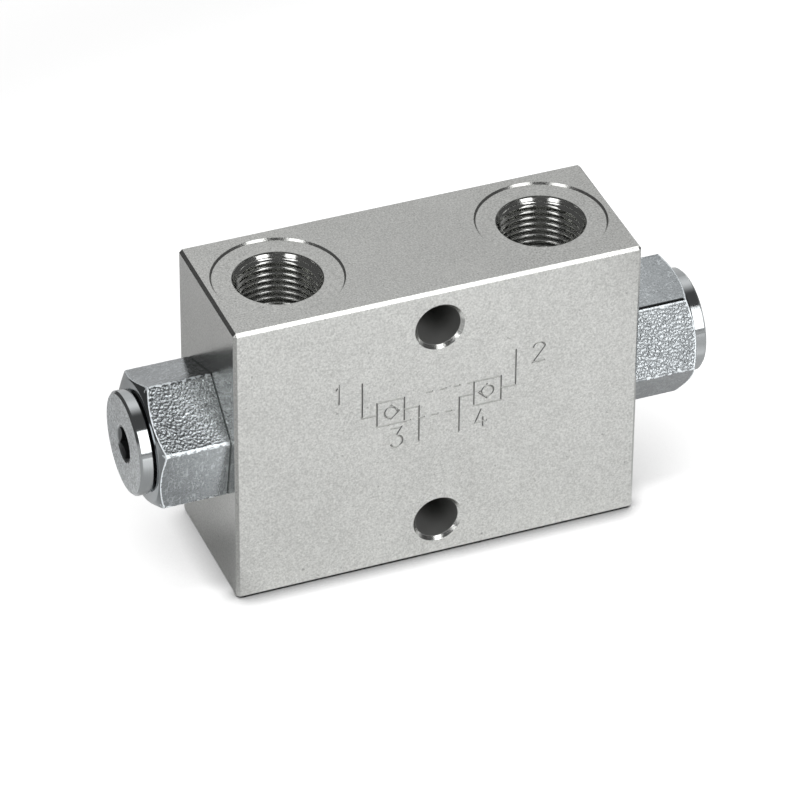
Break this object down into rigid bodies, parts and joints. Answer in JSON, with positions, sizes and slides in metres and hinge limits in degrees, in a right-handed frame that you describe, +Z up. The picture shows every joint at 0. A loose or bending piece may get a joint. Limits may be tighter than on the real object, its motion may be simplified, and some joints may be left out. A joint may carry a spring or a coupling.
{
  "type": "pilot operated non-return valve",
  "caption": "Rectangular steel valve block with two hexagon check cartridges, tapped ports above and below, and a central pilot piston between two sprung poppets.",
  "frame": {"origin": "centre of the block's underside", "axes": "+X along the valve bore towards the right-hand cartridge, -Y out of the face with the stamped symbol, +Z up out of the cylinder ports"},
  "size_m": [0.113, 0.03, 0.06],
  "materials": {
    "block_zinc": "ground steel, clear zinc plated, satin",
    "forged_zinc": "rolled hexagon with a pitted, zinc plated skin",
    "turned_zinc": "fine turned, zinc plated",
    "hardened_steel": "hardened and ground",
    "spring_wire": "drawn spring wire",
    "nitrile": "smooth black rubber",
    "backup_ptfe": "waxy white plastic"
  },
  "bodies": {
    "housing": {"valve_block": "block_zinc", "cartridge_left": "forged_zinc", "cartridge_right": "forged_zinc", "cartridge_o_ring_left": "nitrile", "cartridge_o_ring_right": "nitrile", "seat_ring_left": "hardened_steel", "seat_ring_right": "hardened_steel", "seat_o_ring_left": "nitrile", "seat_o_ring_right": "nitrile", "end_plug_left": "turned_zinc", "end_plug_right": "turned_zinc", "plug_washer_left": "nitrile", "plug_washer_right": "nitrile", "poppet_spring_left": "spring_wire", "poppet_spring_right": "spring_wire"},
    "pilot": {"pilot_piston": "hardened_steel", "piston_o_ring": "nitrile", "piston_backup_ring_left": "backup_ptfe", "piston_backup_ring_right": "backup_ptfe"},
    "poppet_left": {"poppet_left": "hardened_steel"},
    "poppet_right": {"poppet_right": "hardened_steel"}
  },
  "joints": [
    {"name": "pilot_slide", "type": "slide", "parent": "housing", "child": "pilot", "axis": [1, 0, 0], "range_m": [-0.002, 0.002]},
    {"name": "poppet_left_slide", "type": "slide", "parent": "housing", "child": "poppet_left", "axis": [-1, 0, 0], "range_m": [0, 0.0035], "stiffness_N_per_m": 1500, "springref_m": -0.002, "deforming": ["poppet_spring_left"]},
    {"name": "poppet_right_slide", "type": "slide", "parent": "housing", "child": "poppet_right", "axis": [1, 0, 0], "range_m": [0, 0.0035], "stiffness_N_per_m": 1500, "springref_m": -0.002, "deforming": ["poppet_spring_right"]}
  ]
}
